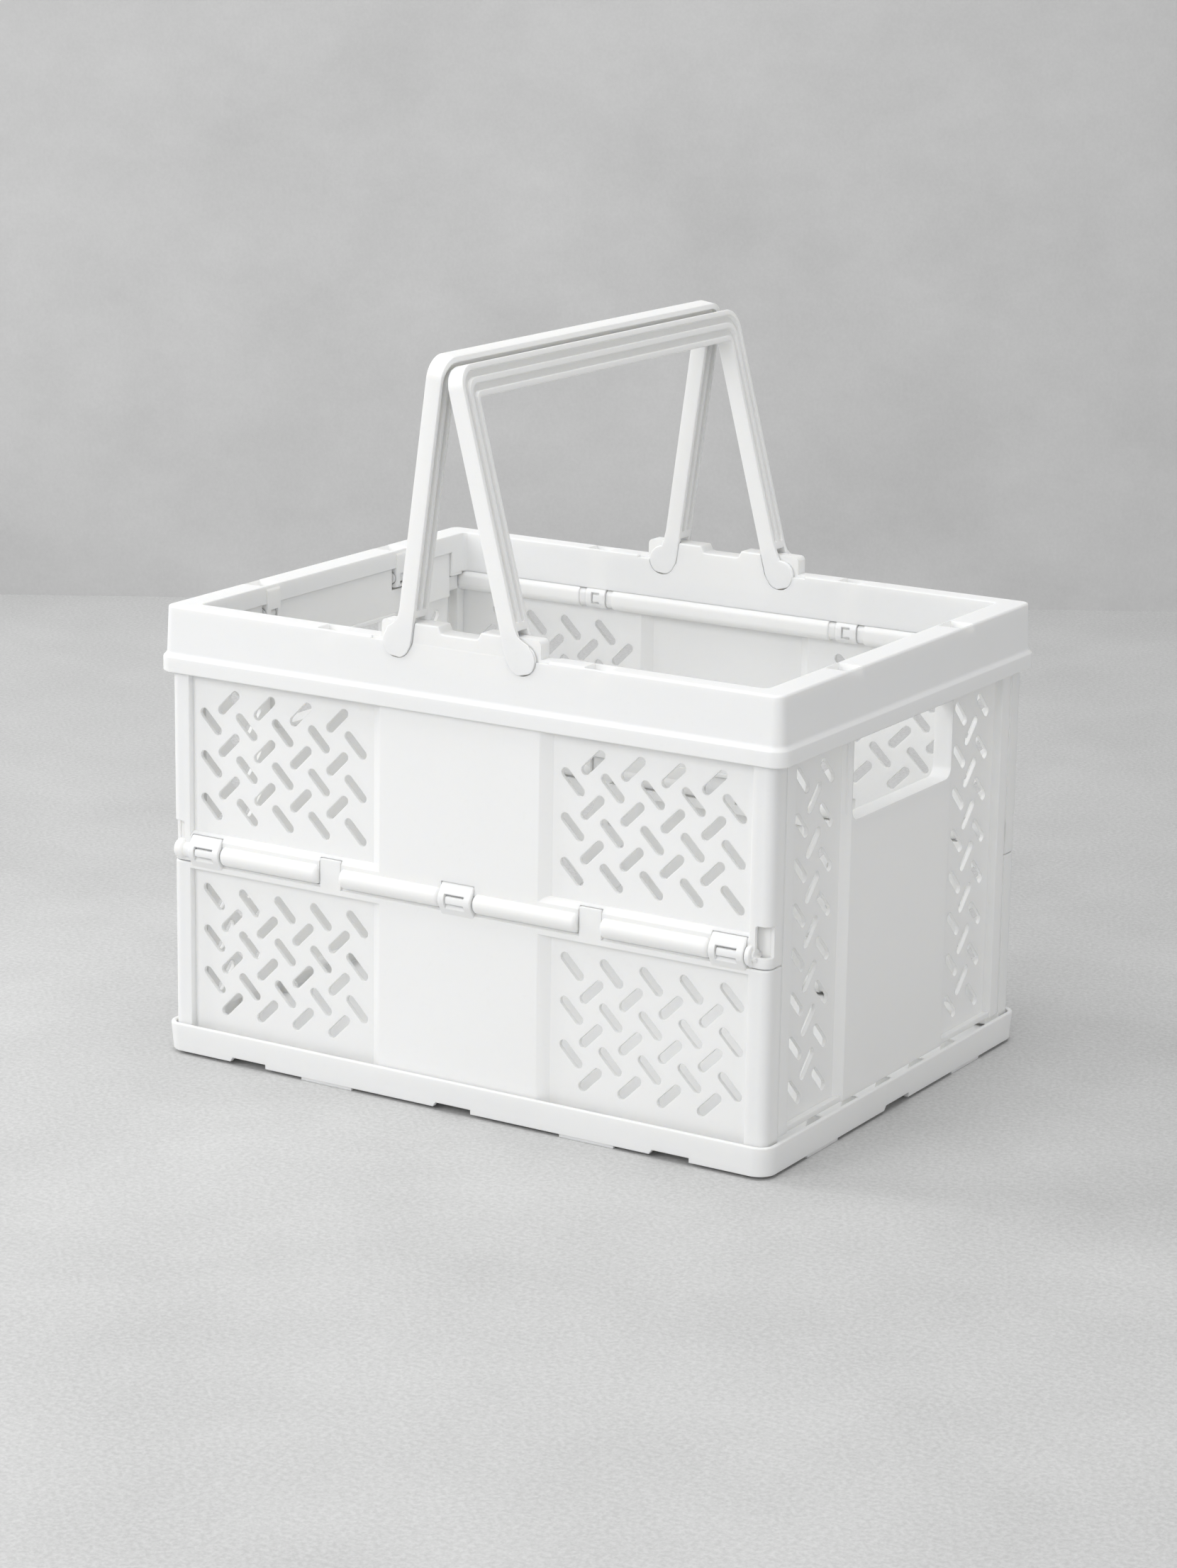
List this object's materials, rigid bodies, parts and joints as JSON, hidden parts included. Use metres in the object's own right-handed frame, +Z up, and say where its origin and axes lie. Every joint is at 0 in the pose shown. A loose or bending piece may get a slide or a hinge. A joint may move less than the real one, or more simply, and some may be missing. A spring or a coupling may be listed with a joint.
{
  "type": "foldable basket",
  "caption": "Rectangular folding carry basket with slotted hinged walls, a hollow rim, lipped hand holes and two U-shaped bail handles.",
  "frame": {"origin": "middle of the tray's footprint, on the ground", "axes": "+Z up, +X toward one end wall, -Y toward the front long wall"},
  "size_m": [0.351, 0.2638, 0.3655],
  "materials": {
    "tray_plastic": "satin white moulded plastic",
    "rim_plastic": "satin white moulded plastic",
    "wall_plastic": "satin white moulded plastic",
    "end_plastic": "satin white moulded plastic",
    "handle_plastic": "satin white moulded plastic"
  },
  "bodies": {
    "basket": {"base_tray": "tray_plastic", "top_rim": "rim_plastic", "front_lower": "wall_plastic", "front_upper": "wall_plastic", "back_lower": "wall_plastic", "back_upper": "wall_plastic"},
    "end_wall_right": {"end_panel_right": "end_plastic"},
    "end_wall_left": {"end_panel_left": "end_plastic"},
    "bail_left": {"handle_left": "handle_plastic"},
    "bail_right": {"handle_right": "handle_plastic"}
  },
  "joints": [
    {"name": "end_wall_right_swing", "type": "hinge", "parent": "basket", "child": "end_wall_right", "pos_m": [0.1625, 0, 0.214], "axis": [0, 1, 0], "range_deg": [0, 90]},
    {"name": "end_wall_left_swing", "type": "hinge", "parent": "basket", "child": "end_wall_left", "pos_m": [-0.1625, 0, 0.214], "axis": [0, -1, 0], "range_deg": [0, 84]},
    {"name": "bail_left_swing", "type": "hinge", "parent": "basket", "child": "bail_left", "pos_m": [-0.035, 0, 0.228], "axis": [0, -1, 0], "range_deg": [0, 89.5]},
    {"name": "bail_right_swing", "type": "hinge", "parent": "basket", "child": "bail_right", "pos_m": [0.035, 0, 0.228], "axis": [0, 1, 0], "range_deg": [0, 97]}
  ]
}
